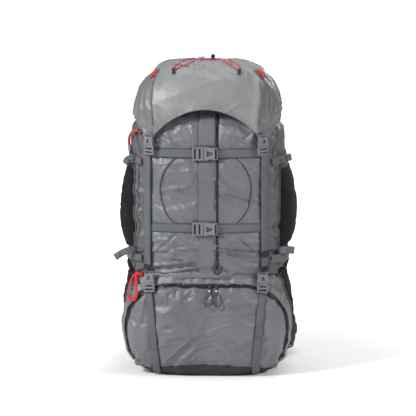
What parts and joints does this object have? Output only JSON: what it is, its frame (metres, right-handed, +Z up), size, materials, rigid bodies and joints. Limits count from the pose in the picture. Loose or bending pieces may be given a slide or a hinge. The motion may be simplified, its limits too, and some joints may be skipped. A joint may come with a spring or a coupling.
{
  "type": "hiking backpack",
  "caption": "Top-loading trekking backpack with hinged lid, zipped lower compartment, side pockets, compression straps, padded harness and hip belt.",
  "frame": {"origin": "middle of the base, where the pack stands on the ground", "axes": "+Z up, -Y the front (away from the wearer), +X to the right of someone who faces the front"},
  "size_m": [0.4404, 0.4954, 0.7928],
  "materials": {
    "shell_fabric": "coated nylon with a slight sheen",
    "black_mesh": "stretch mesh",
    "webbing": "woven webbing",
    "buckle_plastic": "moulded, satin",
    "red_cord": "braided elastic and woven webbing",
    "frame_plastic": "smooth sheet",
    "stay_metal": "extruded bar, satin",
    "padded_mesh": "foam under spacer mesh",
    "zip_metal": "painted die casting",
    "puller_cord": "braided cord"
  },
  "bodies": {
    "pack": {"main_bag": "shell_fabric", "bottom_bag": "shell_fabric", "side_pocket_left": "black_mesh", "side_pocket_right": "black_mesh", "bottle_pocket_left": "black_mesh", "bottle_pocket_right": "black_mesh", "front_placket": "shell_fabric", "front_strap_upper_left": "webbing", "front_strap_upper_right": "webbing", "front_strap_lower_left": "webbing", "front_strap_lower_right": "webbing", "front_buckle_upper_female": "buckle_plastic", "front_buckle_lower_female": "buckle_plastic", "vertical_strap_left": "webbing", "vertical_strap_right": "webbing", "lower_strap_left": "webbing", "lower_strap_right": "webbing", "lower_buckle_female_left": "buckle_plastic", "lower_buckle_female_right": "buckle_plastic", "lid_buckle_male_left": "buckle_plastic", "lid_buckle_male_right": "buckle_plastic", "side_strap_upper_left": "webbing", "side_strap_upper_right": "webbing", "side_strap_lower_left": "webbing", "side_strap_lower_right": "webbing", "ice_axe_loop": "red_cord", "frame_sheet": "frame_plastic", "frame_stay": "stay_metal", "back_panel": "padded_mesh", "shoulder_webbing_left": "webbing", "shoulder_webbing_right": "webbing"},
    "lid": {"lid": "shell_fabric", "lid_cord": "red_cord", "cord_lock": "buckle_plastic", "lid_buckle_female_left": "buckle_plastic", "lid_buckle_female_right": "buckle_plastic"},
    "lock_button": {"cord_lock_button": "buckle_plastic"},
    "front_zip": {"front_zip_slider": "zip_metal"},
    "front_zip_puller": {"front_zip_pull": "puller_cord"},
    "bottom_zip_left": {"bottom_zip_slider_left": "zip_metal"},
    "bottom_zip_puller_left": {"bottom_zip_pull_left": "puller_cord"},
    "bottom_zip_right": {"bottom_zip_slider_right": "zip_metal"},
    "bottom_zip_puller_right": {"bottom_zip_pull_right": "puller_cord"},
    "upper_buckle_tongue": {"front_buckle_upper_male": "buckle_plastic"},
    "middle_buckle_tongue": {"front_buckle_lower_male": "buckle_plastic"},
    "bottom_buckle_tongue_left": {"lower_buckle_male_left": "buckle_plastic"},
    "bottom_buckle_tongue_right": {"lower_buckle_male_right": "buckle_plastic"},
    "handle": {"grab_handle": "webbing"},
    "harness": {"shoulder_strap_left": "padded_mesh", "shoulder_strap_right": "padded_mesh"},
    "sternum": {"sternum_strap_left": "webbing", "sternum_strap_right": "webbing", "sternum_buckle_female": "buckle_plastic", "sternum_buckle_male": "buckle_plastic"},
    "hip_left": {"hip_wing_left": "padded_mesh", "hip_webbing_left": "webbing", "hip_buckle_male": "buckle_plastic"},
    "hip_right": {"hip_wing_right": "padded_mesh", "hip_webbing_right": "webbing", "hip_buckle_female": "buckle_plastic"}
  },
  "joints": [
    {"name": "lid_hinge", "type": "hinge", "parent": "pack", "child": "lid", "pos_m": [0, 0.13, 0.6], "axis": [-1, 0, 0], "range_deg": [0, 90]},
    {"name": "lock_press", "type": "slide", "parent": "lid", "child": "lock_button", "axis": [0, -1, 0], "range_m": [0, 0.0025], "stiffness_N_per_m": 200, "springref_m": -0.002},
    {"name": "front_zip_travel", "type": "slide", "parent": "pack", "child": "front_zip", "axis": [0, -0.103, 0.9947], "range_m": [0, 0.06]},
    {"name": "front_zip_pull_swing", "type": "hinge", "parent": "front_zip", "child": "front_zip_puller", "pos_m": [0.02858, -0.13012, 0.28478], "axis": [-1, 0, 0], "range_deg": [0, 80]},
    {"name": "bottom_zip_travel_left", "type": "slide", "parent": "pack", "child": "bottom_zip_left", "axis": [-1, 0, 0], "range_m": [0, 0.07]},
    {"name": "bottom_zip_pull_swing_left", "type": "hinge", "parent": "bottom_zip_left", "child": "bottom_zip_puller_left", "pos_m": [0.01001, -0.13443, 0.22911], "axis": [-1, 0, 0], "range_deg": [0, 70]},
    {"name": "bottom_zip_travel_right", "type": "slide", "parent": "pack", "child": "bottom_zip_right", "axis": [1, 0, 0], "range_m": [0, 0.05]},
    {"name": "bottom_zip_pull_swing_right", "type": "hinge", "parent": "bottom_zip_right", "child": "bottom_zip_puller_right", "pos_m": [0.02605, -0.13433, 0.22912], "axis": [-1, 0, 0], "range_deg": [0, 70]},
    {"name": "upper_buckle_release", "type": "slide", "parent": "pack", "child": "upper_buckle_tongue", "axis": [-1, 0, 0], "range_m": [0, 0.024], "deforming": ["front_strap_upper_left"]},
    {"name": "middle_buckle_release", "type": "slide", "parent": "pack", "child": "middle_buckle_tongue", "axis": [-1, 0, 0], "range_m": [0, 0.024], "deforming": ["front_strap_lower_left"]},
    {"name": "bottom_buckle_release_left", "type": "slide", "parent": "pack", "child": "bottom_buckle_tongue_left", "axis": [0, -0.1961, -0.9806], "range_m": [0, 0.024], "deforming": ["lower_strap_left"]},
    {"name": "bottom_buckle_release_right", "type": "slide", "parent": "pack", "child": "bottom_buckle_tongue_right", "axis": [0, -0.1961, -0.9806], "range_m": [0, 0.024], "deforming": ["lower_strap_right"]},
    {"name": "handle_tilt", "type": "hinge", "parent": "pack", "child": "handle", "pos_m": [0, 0.1405, 0.59], "axis": [1, 0, 0], "range_deg": [-10, 2]},
    {"name": "harness_lift", "type": "hinge", "parent": "pack", "child": "harness", "pos_m": [0, 0.1435, 0.563], "axis": [1, 0, 0], "range_deg": [0, 25], "deforming": ["shoulder_webbing_left", "shoulder_webbing_right"]},
    {"name": "sternum_height", "type": "slide", "parent": "harness", "child": "sternum", "axis": [0, 0, 1], "range_m": [-0.02, 0.02]},
    {"name": "hip_wing_left_fold", "type": "hinge", "parent": "pack", "child": "hip_left", "pos_m": [-0.118, 0.148, 0.07], "axis": [0, 0, 1], "range_deg": [-2, 28]},
    {"name": "hip_wing_right_fold", "type": "hinge", "parent": "pack", "child": "hip_right", "pos_m": [0.118, 0.148, 0.07], "axis": [0, 0, -1], "range_deg": [-2, 28]}
  ]
}
